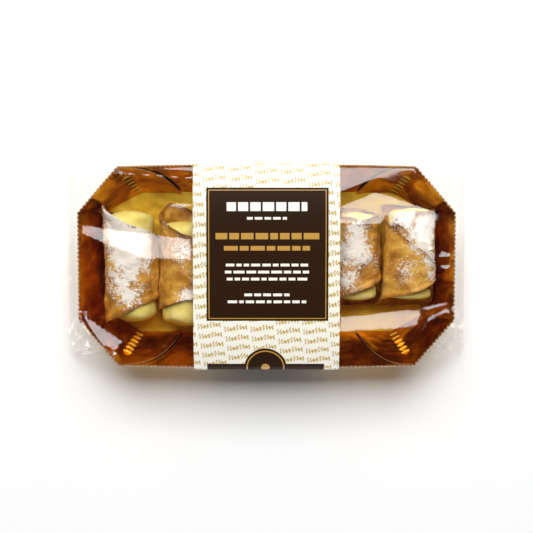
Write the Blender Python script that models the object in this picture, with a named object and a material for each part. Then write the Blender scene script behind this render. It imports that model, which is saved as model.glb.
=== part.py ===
"""A retail pack of cannoli: a card tray of six, sealed in a clear film bag with a card band round it.

The sealed bag and all that is in it are one solid, out to the surface of the film. The band is a
closed loop of card that clears the film all the way round. Units are metres, +Z is up, +X runs
along the pack and the origin is at the middle of the underside.
"""

import math

import bmesh
import bpy
from mathutils import Vector

# The card band
BAND_WIDTH = 0.0795
CARD = 0.0004  # thickness of the band's card
CLEARANCE = 0.0003  # between the film and the band

# The pack's cross-section across its middle, measured on the film
BASE_HALF_DEPTH = 0.0420
RIM_HALF_DEPTH = 0.0562
TOP_HEIGHT = 0.0392  # at the crown of the film
SHOULDER_HEIGHT = 0.0340  # of the roll over the rim, where it would be level
BASE_RADIUS = 0.0025
RIM_RADIUS = 0.0032
FILM_BOTTOM = CARD + CLEARANCE

# The film's crown: arched under the band, and nearly flat at the pack's ends
CROWN_POWER = 4.0  # how late the arch falls away: 2 is an even arch
CROWN_EDGE_SLOPE = math.radians(21)  # where the arch meets the roll over the rim
CROWN_END = 0.0980  # the distance along X where the arch has died away
END_RISE = 0.0004

# The pack's ends, where the bag is drawn out over the tray's short sides into a crimped fin
BASE_HALF_LENGTH = 0.0890
RIM_HALF_LENGTH = 0.1038
FIN_HALF_LENGTH = 0.1125
FIN_HALF_DEPTH = 0.0530
FIN_THICKNESS = 0.0010
FIN_HEIGHT = 0.0034  # of the fin's underside, which droops nearly to the table
TRAY_CUT = (0.0215, 0.0250)  # how far the tray's corners are cut off, along X and Y
BASE_CUT = (0.0160, 0.0100)
FIN_CUT = (0.0050, 0.0050)
FLARE_START = 0.5  # share of the half length at which the long sides begin to spread into ears

# The relief that the six pieces give the film
PIECE_COUNT = 6
PIECE_PITCH = 0.0293
RELIEF_DEPTH = 0.0005  # how far the film sinks between two pieces
RELIEF_HALF_DEPTH = 0.0380
RELIEF_FADE = 0.0100

# How finely each stretch is divided
LONG_STEPS = 16
CORNER_STEPS = 5
SHORT_STEPS = 6
CROWN_RINGS = 10
ARC_STEPS = 4
WALL_STEPS = 4


def eased(low, high, value):
    """0 at low and 1 at high, with a smooth turn between them."""
    t = min(max((value - low) / (high - low), 0.0), 1.0)
    return t * t * (3 - 2 * t)


def mixed(a, b, share):
    return a + (b - a) * share


def arc(centre, radius, start, end, steps):
    """Points on an arc, from one angle to the other, both included."""
    angles = [mixed(start, end, i / steps) for i in range(steps + 1)]
    return [(centre[0] + radius * math.cos(a), centre[1] + radius * math.sin(a)) for a in angles]


def wall_profile(offset):
    """(y, z) up one long side: round the bottom edge, up the flaring wall and over the rim."""
    low = (BASE_HALF_DEPTH - BASE_RADIUS, FILM_BOTTOM + BASE_RADIUS)
    high = (RIM_HALF_DEPTH - RIM_RADIUS, SHOULDER_HEIGHT - RIM_RADIUS)
    lean = -math.atan2(RIM_HALF_DEPTH - BASE_HALF_DEPTH, high[1] - FILM_BOTTOM)
    bottom = arc(low, BASE_RADIUS + offset, -math.pi / 2, lean, ARC_STEPS)
    top = arc(high, RIM_RADIUS + offset, lean, math.pi / 2 - CROWN_EDGE_SLOPE, ARC_STEPS)
    (y0, z0), (y1, z1) = bottom[-1], top[0]
    shares = [i / WALL_STEPS for i in range(1, WALL_STEPS)]
    wall = [(mixed(y0, y1, s), mixed(z0, z1, s)) for s in shares]
    return bottom + wall + top


def crown_edge(offset=0.0):
    """(y, z) where the roll over the rim ends and the crown's arch begins."""
    radius = RIM_RADIUS + offset
    y = RIM_HALF_DEPTH - RIM_RADIUS + radius * math.sin(CROWN_EDGE_SLOPE)
    return y, SHOULDER_HEIGHT - RIM_RADIUS + radius * math.cos(CROWN_EDGE_SLOPE)


def crown_height(x, y, offset=0.0):
    """Height of the crown: an arch across the pack that dies away towards the pack's ends."""
    edge_y, edge_z = crown_edge(offset)
    ends = eased(BAND_WIDTH / 2 + 0.001, CROWN_END, abs(x))
    rise = mixed(TOP_HEIGHT + offset - edge_z, END_RISE, ends)
    return edge_z + rise * (1 - min(abs(y) / edge_y, 1.0) ** CROWN_POWER)


def end_stations():
    """(x, ear's y, z, corner's cut along x and y) of the film's edge at a short end, upwards."""
    fin_top = FIN_HEIGHT + FIN_THICKNESS
    fin_x = FIN_HALF_LENGTH
    fin_y = FIN_HALF_DEPTH
    rim_x = RIM_HALF_LENGTH
    ear_y = RIM_HALF_DEPTH - 0.0010
    return [
        (BASE_HALF_LENGTH, BASE_HALF_DEPTH, FILM_BOTTOM, *BASE_CUT),
        (mixed(BASE_HALF_LENGTH, fin_x, 0.40), mixed(BASE_HALF_DEPTH, fin_y, 0.5), 0.0017, 0.012, 0.009),
        (mixed(BASE_HALF_LENGTH, fin_x, 0.75), mixed(BASE_HALF_DEPTH, fin_y, 0.9), 0.0029, 0.008, 0.007),
        (fin_x, fin_y, FIN_HEIGHT, *FIN_CUT),
        (fin_x, fin_y, fin_top, *FIN_CUT),
        (mixed(fin_x, rim_x, 0.45), fin_y - 0.0006, fin_top + 0.0018, 0.007, 0.0075),
        (mixed(fin_x, rim_x, 0.58), fin_y, mixed(fin_top, SHOULDER_HEIGHT, 0.26), 0.010, 0.011),
        (mixed(fin_x, rim_x, 0.70), fin_y + 0.0006, mixed(fin_top, SHOULDER_HEIGHT, 0.50), 0.014, 0.015),
        (mixed(fin_x, rim_x, 0.85), fin_y + 0.0014, mixed(fin_top, SHOULDER_HEIGHT, 0.75), 0.018, 0.020),
        (rim_x, ear_y, SHOULDER_HEIGHT - 0.0022, *TRAY_CUT),
        (rim_x - 0.0010, ear_y - 0.0008, SHOULDER_HEIGHT - 0.0008, *TRAY_CUT),
        (rim_x - 0.0026, ear_y - 0.0016, SHOULDER_HEIGHT - 0.0003, *TRAY_CUT),
    ]


def end_profile(count):
    """The end's stations, spread evenly over this many levels."""
    stations = end_stations()
    last = len(stations) - 1
    levels = []
    for i in range(count):
        place = i * last / (count - 1)
        below = min(int(place), last - 1)
        pairs = zip(stations[below], stations[below + 1])
        levels.append([mixed(a, b, place - below) for a, b in pairs])
    return levels


def quarter_level(side, end):
    """A quarter of one level, from the middle of the long side round to the middle of the end."""
    side_y, side_z = side
    end_x, end_y, end_z, cut_x, cut_y = end
    points = []
    for i in range(LONG_STEPS):
        share = i / LONG_STEPS
        spread = eased(FLARE_START, 1.0, share)
        y = mixed(side_y, end_y, spread)
        z = mixed(side_z, end_z, spread)
        points.append(Vector((share * (end_x - cut_x), y, z)))
    # The tray's own cut corners are nearly straight, and the fin's small ones are round.
    roundness = mixed(1.0, 0.15, eased(FIN_CUT[0], TRAY_CUT[0], cut_x))
    for i in range(CORNER_STEPS + 1):
        t = i / CORNER_STEPS
        x = end_x - cut_x * mixed(1 - t, (1 - t) ** 2, roundness)
        y = end_y - cut_y * mixed(t, t**2, roundness)
        points.append(Vector((x, y, end_z)))
    for i in range(1, SHORT_STEPS + 1):
        points.append(Vector((end_x, (end_y - cut_y) * (1 - i / SHORT_STEPS), end_z)))
    return points


def whole_loop(quarter):
    """The whole level from a quarter of it, with the points on the two centre planes once each."""
    back = quarter[::-1] + [Vector((-p.x, p.y, p.z)) for p in quarter[1:]]
    front = [Vector((p.x, -p.y, p.z)) for p in reversed(back[1:-1])]
    return back + front


def relief(x, y):
    """How far the film sinks at a place on the crown: between pieces, and not under the band."""
    half_row = PIECE_COUNT * PIECE_PITCH / 2
    over_row = eased(half_row + RELIEF_FADE, half_row - RELIEF_FADE, abs(x))
    over_depth = eased(RELIEF_HALF_DEPTH, RELIEF_HALF_DEPTH - RELIEF_FADE, abs(y))
    past_band = eased(BAND_WIDTH / 2 + 0.001, BAND_WIDTH / 2 + 0.008, abs(x))
    wave = (1 + math.cos(2 * math.pi * x / PIECE_PITCH)) / 2
    return RELIEF_DEPTH * over_row * over_depth * past_band * wave


def crown_loop(rim, share):
    """A ring on the crown: the rim's loop drawn in to a share of its size."""
    points = []
    for p in rim:
        x, y = p.x * share, p.y * share
        rim_dip = (crown_edge()[1] - p.z) * share**2
        points.append(Vector((x, y, crown_height(x, y) - rim_dip - relief(x, y))))
    return points


def bridge(mesh, low, high):
    """Faces between two closed loops of the same length."""
    for i in range(len(low)):
        j = (i + 1) % len(low)
        mesh.faces.new((low[i], low[j], high[j], high[i]))


def material(name, colour, roughness, metallic=0.0):
    made = bpy.data.materials.new(name)
    made.use_nodes = True
    shader = made.node_tree.nodes["Principled BSDF"]
    shader.inputs["Base Color"].default_value = (*colour, 1.0)
    shader.inputs["Roughness"].default_value = roughness
    shader.inputs["Metallic"].default_value = metallic
    return made


def finished(mesh, name, look):
    """The bmesh as an object with outward faces, smooth but for its sharp edges."""
    bmesh.ops.recalc_face_normals(mesh, faces=mesh.faces)
    data = bpy.data.meshes.new(name)
    mesh.to_mesh(data)
    mesh.free()
    data.shade_smooth()
    data.set_sharp_from_angle(angle=math.radians(35))
    data.materials.append(look)
    made = bpy.data.objects.new(name, data)
    bpy.context.scene.collection.objects.link(made)
    return made


def make_bag():
    """The film bag and its contents: levels up the sides, then rings over the crown."""
    sides = wall_profile(0.0)
    ends = end_profile(len(sides))
    levels = [whole_loop(quarter_level(side, end)) for side, end in zip(sides, ends)]
    rim = levels[-1]
    levels += [crown_loop(rim, 1 - i / CROWN_RINGS) for i in range(1, CROWN_RINGS)]
    mesh = bmesh.new()
    loops = [[mesh.verts.new(p) for p in level] for level in levels]
    for low, high in zip(loops, loops[1:]):
        bridge(mesh, low, high)
    top = mesh.verts.new((0, 0, crown_height(0, 0)))
    inner = loops[-1]
    for i, corner in enumerate(inner):
        mesh.faces.new((corner, inner[(i + 1) % len(inner)], top))
    mesh.faces.new(loops[0][::-1])
    return finished(mesh, "filled_bag", material("clear film over pastry", (0.72, 0.47, 0.22), 0.15))


def band_section(offset):
    """The closed (y, z) loop of the band at this distance outside the film."""
    edge = crown_edge(offset)[0]
    crown_ys = [edge * (1 - i / CROWN_RINGS) for i in range(1, CROWN_RINGS + 1)]
    half = wall_profile(offset) + [(y, crown_height(0, y, offset)) for y in crown_ys]
    return half + [(-y, z) for y, z in reversed(half[:-1])]


def make_band():
    """The card band: an inner and an outer loop, joined at both cut edges."""
    half_width = BAND_WIDTH / 2
    inner, outer = CLEARANCE, CLEARANCE + CARD
    corners = ((inner, -half_width), (inner, half_width), (outer, half_width), (outer, -half_width))
    mesh = bmesh.new()
    loops = [[mesh.verts.new((x, y, z)) for y, z in band_section(offset)] for offset, x in corners]
    for low, high in zip(loops, loops[1:] + loops[:1]):
        bridge(mesh, low, high)
    return finished(mesh, "card_band", material("printed card", (0.90, 0.88, 0.78), 0.55))


def main():
    for old in list(bpy.data.objects):
        bpy.data.objects.remove(old)
    make_bag()
    make_band()


main()
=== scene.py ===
import math
import random

import bpy
import numpy as np
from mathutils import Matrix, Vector, noise


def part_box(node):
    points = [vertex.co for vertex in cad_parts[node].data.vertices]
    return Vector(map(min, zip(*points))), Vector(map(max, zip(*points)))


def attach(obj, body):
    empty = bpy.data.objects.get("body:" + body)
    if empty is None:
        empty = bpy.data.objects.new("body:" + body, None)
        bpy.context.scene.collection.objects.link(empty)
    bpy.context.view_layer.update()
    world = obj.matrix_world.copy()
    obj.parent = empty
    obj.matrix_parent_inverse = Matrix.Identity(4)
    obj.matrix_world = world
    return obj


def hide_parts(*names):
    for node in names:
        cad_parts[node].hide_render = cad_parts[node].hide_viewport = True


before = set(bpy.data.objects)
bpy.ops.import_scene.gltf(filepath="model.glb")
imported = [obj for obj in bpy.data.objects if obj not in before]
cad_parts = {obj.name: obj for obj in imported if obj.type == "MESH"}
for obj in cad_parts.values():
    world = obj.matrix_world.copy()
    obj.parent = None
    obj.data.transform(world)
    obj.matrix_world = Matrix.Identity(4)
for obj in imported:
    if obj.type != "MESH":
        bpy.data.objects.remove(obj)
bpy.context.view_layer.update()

mm = 0.001
bagLow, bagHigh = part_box("filled_bag")
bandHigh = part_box("card_band")[1]


# sRGB hex to the linear colour that sockets take
def hexColour(text):
    channels = [int(text[i : i + 2], 16) / 255 for i in (1, 3, 5)]
    return (*[c / 12.92 if c <= 0.04045 else ((c + 0.055) / 1.055) ** 2.4 for c in channels], 1.0)


# One node, with its properties or input values, and what feeds its inputs
def addNode(tree, kind, settings=None, links=None):
    node = tree.nodes.new(kind)
    for key, value in (settings or {}).items():
        if isinstance(key, str) and hasattr(node, key):
            setattr(node, key, value)
        else:
            node.inputs[key].default_value = value
    for key, source in (links or {}).items():
        tree.links.new(source, node.inputs[key])
    return node


def startMaterial(name):
    material = bpy.data.materials.new(name)
    material.use_nodes = True
    material.node_tree.nodes.clear()
    return material, material.node_tree


def setRamp(node, stops):
    ramp = node.color_ramp
    while len(ramp.elements) < len(stops):
        ramp.elements.new(0.5)
    for element, (place, colour) in zip(ramp.elements, stops):
        element.position = place
        element.color = hexColour(colour)


def pickOnly(piece):
    if bpy.context.mode != "OBJECT":
        bpy.ops.object.mode_set(mode="OBJECT")
    bpy.ops.object.select_all(action="DESELECT")
    piece.select_set(True)
    bpy.context.view_layer.objects.active = piece


def readPoints(piece):
    flat = np.zeros(len(piece.data.vertices) * 3)
    piece.data.vertices.foreach_get("co", flat)
    return flat.reshape(-1, 3)


def writePoints(piece, points):
    piece.data.vertices.foreach_set("co", np.asarray(points, dtype=float).ravel())
    piece.data.update()


# A flat grid whose points are moved to place(u, v), with u and v from 0 to 1
def wrapGrid(name, columns, rows, place):
    bpy.ops.object.select_all(action="DESELECT")
    bpy.ops.mesh.primitive_grid_add(x_subdivisions=columns, y_subdivisions=rows, size=2)
    piece = bpy.context.object
    piece.name = piece.data.name = name
    flat = readPoints(piece)
    u = np.round((flat[:, 0] + 1) / 2 * columns) / columns
    v = np.round((flat[:, 1] + 1) / 2 * rows) / rows
    writePoints(piece, np.stack(place(u, v), axis=1))
    return piece


def mergeDoubles(piece, distance=0.00001):
    pickOnly(piece)
    bpy.ops.object.mode_set(mode="EDIT")
    bpy.ops.mesh.select_all(action="SELECT")
    bpy.ops.mesh.remove_doubles(threshold=distance)
    bpy.ops.object.mode_set(mode="OBJECT")


def applyModifier(piece, kind, **settings):
    pickOnly(piece)
    modifier = piece.modifiers.new(kind.title(), kind)
    for key, value in settings.items():
        setattr(modifier, key, value)
    bpy.ops.object.modifier_apply(modifier=modifier.name)


def shadeSmooth(piece, angle=35):
    pickOnly(piece)
    bpy.ops.object.shade_smooth_by_angle(angle=math.radians(angle))


def giveMaterials(piece, *materials):
    piece.data.materials.clear()
    for material in materials:
        piece.data.materials.append(material)


def joinPieces(pieces, name):
    pickOnly(pieces[0])
    for piece in pieces[1:]:
        piece.select_set(True)
    bpy.ops.object.join()
    pieces[0].name = pieces[0].data.name = name
    return pieces[0]


def setAttribute(piece, name, values):
    attribute = piece.data.attributes.new(name, "FLOAT", "POINT")
    attribute.data.foreach_set("value", np.asarray(values, dtype=float))


def noiseAt(points, scale, seed=0.0):
    return np.array([noise.noise(Vector(p) * scale + Vector((seed, seed * 0.7, -seed))) for p in points])


def mixed(a, b, share):
    return a + (b - a) * share


def eased(low, high, value):
    t = np.clip((value - low) / (high - low), 0, 1)
    return t * t * (3 - 2 * t)


# Where u falls on a four-fold loop, anticlockwise from the middle of the right end:
# the signs of x and y, and the shares along the long side, the cut corner and the end
def loopShares(u, longEnd=0.58, cornerEnd=0.76):
    turn = u * 4
    quadrant = np.floor(turn).astype(int) % 4
    part = turn - np.floor(turn)
    q = np.where(quadrant % 2 == 0, 1 - part, part)
    signX = np.where((quadrant == 0) | (quadrant == 3), 1, -1)
    signY = np.where(quadrant < 2, 1, -1)
    longShare = np.clip(q / longEnd, 0, 1)
    cornerShare = np.clip((q - longEnd) / (cornerEnd - longEnd), 0, 1)
    endShare = np.clip((q - cornerEnd) / (1 - cornerEnd), 0, 1)
    return signX, signY, longShare, cornerShare, endShare


print("stage: camera, lamps and floor")
studio = {
    "cameraLean": 5.0,  # degrees past straight down, leaning over the back
    "lens": 85.0,
    "distance": 0.690,
    "aim": (0.0, 0.0, 0.030),
    "backLamp": {"size": (2.0, 1.6), "distance": 2.4, "angle": 37, "side": 0, "power": 80.0},
    "leftLamp": {"size": (0.8, 0.8), "distance": 1.6, "angle": 64, "side": -30, "power": 3.0},
    "rightLamp": {"size": (0.8, 0.8), "distance": 1.6, "angle": 64, "side": 30, "power": 3.0},
    "frontLamp": {"size": (2.2, 0.3), "distance": 2.0, "angle": 85, "side": 180, "power": 26.0},
    "worldGrey": 0.035,
    "floor": "#FBFBFB",
}


# An area lamp aimed at the pack, tilted from straight up by angle and turned round by side
def addLamp(name, size, distance, angle, side, power):
    tilt, turn = math.radians(angle), math.radians(side)
    place = Vector((math.sin(tilt) * math.sin(turn), math.sin(tilt) * math.cos(turn), math.cos(tilt)))
    data = bpy.data.lights.new(name, "AREA")
    data.shape = "RECTANGLE"
    data.size, data.size_y = size
    data.energy = power
    lamp = bpy.data.objects.new(name, data)
    lamp.location = place * distance
    lamp.rotation_euler = place.to_track_quat("Z", "Y").to_euler()
    bpy.context.scene.collection.objects.link(lamp)


def addStudio():
    scene = bpy.context.scene
    scene.view_settings.view_transform = "Standard"
    world = bpy.data.worlds.new("studioAir")
    scene.world = world
    world.use_nodes = True
    world.node_tree.nodes.clear()
    grey = studio["worldGrey"]
    sky = addNode(world.node_tree, "ShaderNodeBackground", {"Color": (grey, grey, grey, 1)})
    addNode(world.node_tree, "ShaderNodeOutputWorld", None, {"Surface": sky.outputs[0]})
    for name in ("backLamp", "leftLamp", "rightLamp", "frontLamp"):
        addLamp(name, **studio[name])
    camera = bpy.data.objects.new("camera", bpy.data.cameras.new("camera"))
    camera.data.lens = studio["lens"]
    lean = math.radians(studio["cameraLean"])
    away = Vector((0, math.sin(lean), math.cos(lean)))
    camera.location = Vector(studio["aim"]) + away * studio["distance"]
    camera.rotation_euler = (-lean, 0, 0)
    scene.collection.objects.link(camera)
    scene.camera = camera
    bpy.ops.object.select_all(action="DESELECT")
    bpy.ops.mesh.primitive_plane_add(size=5)
    floor = bpy.context.object
    floor.name = floor.data.name = "studioFloor"
    material, tree = startMaterial("white studio sweep")
    settings = {"Base Color": hexColour(studio["floor"]), "Roughness": 0.7}
    shader = addNode(tree, "ShaderNodeBsdfPrincipled", settings)
    addNode(tree, "ShaderNodeOutputMaterial", None, {"Surface": shader.outputs[0]})
    giveMaterials(floor, material)


addStudio()


print("stage: materials")


# Gold-laminated paperboard: a mirror softened by slow waves and smudges, with dark and bright patches painted
# into its colour as painted reflections where it is foil, and dull where it is metallic ink
def goldFoil(name, reflectionDark, colour, metallic, smoothest):
    material, tree = startMaterial(name)
    spot = addNode(tree, "ShaderNodeTexCoord")
    waves = addNode(
        tree,
        "ShaderNodeTexNoise",
        {"Scale": 1 / (17 * mm), "Detail": 2.0, "Roughness": 0.55},
        {"Vector": spot.outputs["Object"]},
    )
    bump = addNode(
        tree, "ShaderNodeBump", {"Strength": 0.9, "Distance": 2.4 * mm}, {"Height": waves.outputs["Fac"]}
    )
    # painted reflections: the colour swings between the darker and the lighter gold with the slow waves,
    # standing in for what the foil mirrors
    paintedReflections = addNode(tree, "ShaderNodeValToRGB", None, {"Fac": waves.outputs["Fac"]})
    setRamp(paintedReflections, [(0.40, reflectionDark), (0.58, colour)])
    smudges = addNode(
        tree,
        "ShaderNodeTexNoise",
        {"Scale": 1 / (5 * mm), "Detail": 3.0},
        {"Vector": spot.outputs["Object"]},
    )
    gloss = addNode(
        tree, "ShaderNodeMapRange",
        {"To Min": smoothest, "To Max": smoothest + 0.18}, {"Value": smudges.outputs["Fac"]}
    )
    shader = addNode(
        tree,
        "ShaderNodeBsdfPrincipled",
        {"Metallic": metallic},
        {"Base Color": paintedReflections.outputs[0], "Roughness": gloss.outputs[0], "Normal": bump.outputs["Normal"]},
    )
    addNode(tree, "ShaderNodeOutputMaterial", None, {"Surface": shader.outputs[0]})
    return material


# The raw cut edge of the board: dull brown paper
def cutBoard():
    material, tree = startMaterial("cut board edge")
    spot = addNode(tree, "ShaderNodeTexCoord")
    place = {"Vector": spot.outputs["Object"]}
    fibres = addNode(tree, "ShaderNodeTexNoise", {"Scale": 1 / (1.5 * mm)}, place)
    ramp = addNode(tree, "ShaderNodeValToRGB", None, {"Fac": fibres.outputs["Fac"]})
    setRamp(ramp, [(0.3, "#8A6A45"), (0.7, "#B99A72")])
    shader = addNode(tree, "ShaderNodeBsdfPrincipled", {"Roughness": 0.8}, {"Base Color": ramp.outputs[0]})
    addNode(tree, "ShaderNodeOutputMaterial", None, {"Surface": shader.outputs[0]})
    return material


# Deep-fried dough: blistered amber to brown, with a dull fatty shine, under uneven icing sugar
def friedDough():
    material, tree = startMaterial("fried dough with icing sugar")
    spot = addNode(tree, "ShaderNodeTexCoord")
    patches = addNode(
        tree,
        "ShaderNodeTexNoise",
        {"Scale": 1 / (9 * mm), "Detail": 5.0, "Roughness": 0.6},
        {"Vector": spot.outputs["Object"]},
    )
    toast = addNode(tree, "ShaderNodeAttribute", {"attribute_name": "toast"})
    browned = addNode(
        tree,
        "ShaderNodeMath",
        {"operation": "MULTIPLY_ADD", 1: 0.45},
        {0: toast.outputs["Fac"], 2: patches.outputs["Fac"]},
    )
    dough = addNode(tree, "ShaderNodeValToRGB", None, {"Fac": browned.outputs[0]})
    setRamp(dough, [(0.30, "#E5BC60"), (0.45, "#D09A3C"), (0.60, "#B27828"), (0.88, "#703E12")])
    dusting = addNode(tree, "ShaderNodeAttribute", {"attribute_name": "dusting"})
    powder = addNode(
        tree,
        "ShaderNodeTexNoise",
        {"Scale": 1 / (1.5 * mm), "Detail": 4.0, "Roughness": 0.75},
        {"Vector": spot.outputs["Object"]},
    )
    piled = addNode(
        tree,
        "ShaderNodeMath",
        {"operation": "MULTIPLY_ADD", 1: 0.46},
        {0: dusting.outputs["Fac"], 2: powder.outputs["Fac"]},
    )
    cover = addNode(
        tree,
        "ShaderNodeMapRange",
        {"From Min": 0.70, "From Max": 0.83, "To Max": 0.92},
        {"Value": piled.outputs[0]},
    )
    # a colour Mix node's sockets 6 and 7 are its two colours
    colour = addNode(tree, "ShaderNodeMix", {"data_type": "RGBA"}, {0: cover.outputs[0]})
    colour.inputs[7].default_value = hexColour("#F2E9DE")
    tree.links.new(dough.outputs[0], colour.inputs[6])
    gloss = addNode(
        tree, "ShaderNodeMapRange", {"To Min": 0.42, "To Max": 0.95}, {"Value": cover.outputs[0]}
    )
    crust = addNode(
        tree,
        "ShaderNodeTexNoise",
        {"Scale": 1 / (2.2 * mm), "Detail": 3.0},
        {"Vector": spot.outputs["Object"]},
    )
    relief = addNode(
        tree,
        "ShaderNodeMath",
        {"operation": "MULTIPLY_ADD", 1: 0.5},
        {0: cover.outputs[0], 2: crust.outputs["Fac"]},
    )
    bump = addNode(
        tree, "ShaderNodeBump", {"Strength": 0.6, "Distance": 0.5 * mm}, {"Height": relief.outputs[0]}
    )
    shader = addNode(
        tree,
        "ShaderNodeBsdfPrincipled",
        {"Subsurface Weight": 0.08, "Subsurface Scale": 1.5 * mm, "Specular IOR Level": 0.35},
        {"Base Color": colour.outputs[2], "Roughness": gloss.outputs[0], "Normal": bump.outputs["Normal"]},
    )
    addNode(tree, "ShaderNodeOutputMaterial", None, {"Surface": shader.outputs[0]})
    return material


# White chocolate cream: smooth and softly moist, faintly uneven in its gloss and its butter yellow
def sweetCream():
    material, tree = startMaterial("white chocolate cream")
    spot = addNode(tree, "ShaderNodeTexCoord")
    streaks = addNode(
        tree, "ShaderNodeTexNoise", {"Scale": 1 / (6 * mm), "Detail": 2.0}, {"Vector": spot.outputs["Object"]}
    )
    ramp = addNode(tree, "ShaderNodeValToRGB", None, {"Fac": streaks.outputs["Fac"]})
    setRamp(ramp, [(0.3, "#E0C75A"), (0.7, "#EDDD8A")])
    gloss = addNode(
        tree, "ShaderNodeMapRange", {"To Min": 0.42, "To Max": 0.62}, {"Value": streaks.outputs["Fac"]}
    )
    bump = addNode(
        tree, "ShaderNodeBump", {"Strength": 0.12, "Distance": 0.5 * mm}, {"Height": streaks.outputs["Fac"]}
    )
    shader = addNode(
        tree,
        "ShaderNodeBsdfPrincipled",
        {"Subsurface Weight": 0.18, "Subsurface Scale": 2.5 * mm, "Specular IOR Level": 0.35},
        {"Base Color": ramp.outputs[0], "Roughness": gloss.outputs[0], "Normal": bump.outputs["Normal"]},
    )
    addNode(tree, "ShaderNodeOutputMaterial", None, {"Surface": shader.outputs[0]})
    return material


# Icing sugar: bright, dry powder
def icingPowder():
    material, tree = startMaterial("icing sugar")
    spot = addNode(tree, "ShaderNodeTexCoord")
    clumps = addNode(tree, "ShaderNodeTexNoise", {"Scale": 1 / (4 * mm)}, {"Vector": spot.outputs["Object"]})
    ramp = addNode(tree, "ShaderNodeValToRGB", None, {"Fac": clumps.outputs["Fac"]})
    setRamp(ramp, [(0.3, "#EEE7DE"), (0.7, "#F9F4EE")])
    shader = addNode(
        tree,
        "ShaderNodeBsdfPrincipled",
        {"Roughness": 0.95, "Subsurface Weight": 0.1, "Subsurface Scale": 1 * mm},
        {"Base Color": ramp.outputs[0]},
    )
    addNode(tree, "ShaderNodeOutputMaterial", None, {"Surface": shader.outputs[0]})
    return material


# Stretched polypropylene film: clear, with a sharp shine that grows where it turns edge-on
def clearFilm():
    material, tree = startMaterial("clear polypropylene film")
    spot = addNode(tree, "ShaderNodeTexCoord")
    ripples = addNode(
        tree,
        "ShaderNodeTexNoise",
        {"Scale": 1 / (9 * mm), "Detail": 3.0, "Roughness": 0.55},
        {"Vector": spot.outputs["Object"]},
    )
    bump = addNode(
        tree, "ShaderNodeBump", {"Strength": 0.18, "Distance": 0.6 * mm}, {"Height": ripples.outputs["Fac"]}
    )
    rim = addNode(tree, "ShaderNodeLayerWeight", {"Blend": 0.5})
    grazing = addNode(tree, "ShaderNodeMath", {"operation": "POWER", 1: 5.0}, {0: rim.outputs["Facing"]})
    clear = addNode(tree, "ShaderNodeBsdfTransparent", {"Color": (0.995, 0.995, 0.99, 1)})
    shine = addNode(
        tree,
        "ShaderNodeBsdfAnisotropic",
        {"Color": (1, 1, 1, 1), "Roughness": 0.12},
        {"Normal": bump.outputs["Normal"]},
    )
    boosted = addNode(
        tree, "ShaderNodeMath", {"operation": "MULTIPLY_ADD", 1: 0.35, 2: 0.05}, {0: grazing.outputs[0]}
    )
    film = addNode(
        tree,
        "ShaderNodeMixShader",
        None,
        {0: boosted.outputs[0], 1: clear.outputs[0], 2: shine.outputs[0]},
    )
    addNode(tree, "ShaderNodeOutputMaterial", None, {"Surface": film.outputs[0]})
    return material


print("stage: gold tray")
tray = {
    "rimHalf": (bagHigh.x - 9.9 * mm, bagHigh.y - 0.8 * mm),
    "baseHalf": (88 * mm, 40 * mm),
    "rimCut": (21.5 * mm, 25 * mm),
    "baseCut": (17 * mm, 10 * mm),
    "floor": bagLow.z + 1.2 * mm,
    "rim": bagHigh.z - 8.0 * mm,
    "board": 0.7 * mm,
    "bow": 1.1 * mm,  # how far the long rims bow out at their middle
    "wavePitch": 2.4 * mm,
    "waveDepth": 0.32 * mm,
    "slackPitch": 26 * mm,  # of the walls' soft unevenness
    "slackDepth": 0.7 * mm,
    "columns": 1120,
    "floorRings": 8,
    "wallRows": 16,
    "tabReach": (23 * mm, 20 * mm),  # of the glue tabs at the left and at the right
    "tabBoard": 0.45 * mm,
    "crimps": 6,
    "crimpStart": 4.0 * mm,
    "crimpPitch": 3.6 * mm,
    "crimpHalf": (3.0 * mm, 0.42 * mm, 0.7 * mm),  # across the fold, along it and out of it
}
foil, boardEdge = goldFoil("gold foil board", "#B4701A", "#F4AE26", 1.0, 0.13), cutBoard()
# the floor's foil is the wall foil made rougher and less metallic, its gold painted lighter as painted light
# on the floor; the crimps take it too
floorFoilPaintedLighter = goldFoil("gold floor foil painted lighter", "#E0AE18", "#FACB2C", 0.30, 0.36)
outerBoard = goldFoil("matt gold board outside", "#D2940A", "#DFA414", 0.0, 0.5)


# A point of the tray: level 0 is the floor's edge and 1 the rim
def trayPoint(u, level, share=1.0):
    signX, signY, along, corner, end = loopShares(u, 0.57, 0.80)
    halfX = mixed(tray["baseHalf"][0], tray["rimHalf"][0], level)
    halfY = mixed(tray["baseHalf"][1], tray["rimHalf"][1], level) - tray["bow"] * level * along**2
    cutX = mixed(tray["baseCut"][0], tray["rimCut"][0], level)
    cutY = mixed(tray["baseCut"][1], tray["rimCut"][1], level)
    x = signX * (along * (halfX - cutX) + cutX * corner) * share
    y = signY * (halfY - cutY * corner) * (1 - end) * share
    return x, y, mixed(tray["floor"], tray["rim"], level) + 0 * x


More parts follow.
